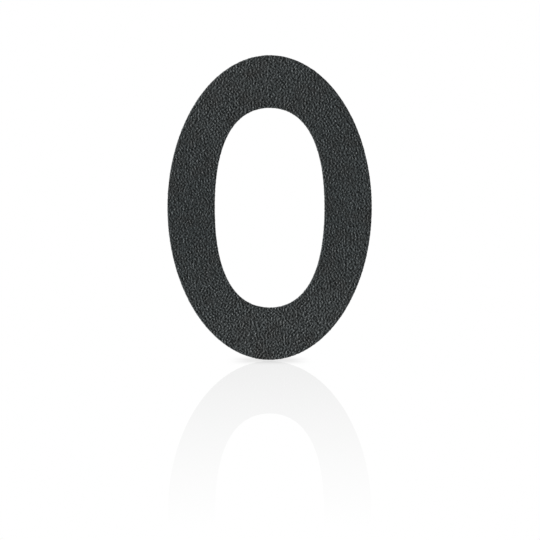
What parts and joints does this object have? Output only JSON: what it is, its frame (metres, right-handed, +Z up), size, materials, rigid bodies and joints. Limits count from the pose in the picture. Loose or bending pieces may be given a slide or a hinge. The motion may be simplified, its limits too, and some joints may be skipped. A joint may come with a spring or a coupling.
{
  "type": "house number",
  "caption": "Flat house number, the numeral zero, in steel sheet with a dark grey textured coat, fixed to a wall by hidden threaded studs on its back.",
  "frame": {"origin": "midway between the two wall studs, in the plane of their flange faces, which is where the wall or a spacer sleeve bears", "axes": "+Z up the numeral, +X to the right seen from the front, +Y out of the back along the studs into the wall; the face looks along -Y"},
  "size_m": [0.104, 0.0328, 0.155],
  "materials": {
    "textured_coat": "matte",
    "stud_steel": "satin"
  },
  "bodies": {
    "root": {"number_plate": "textured_coat", "wall_studs": "stud_steel"}
  },
  "joints": []
}
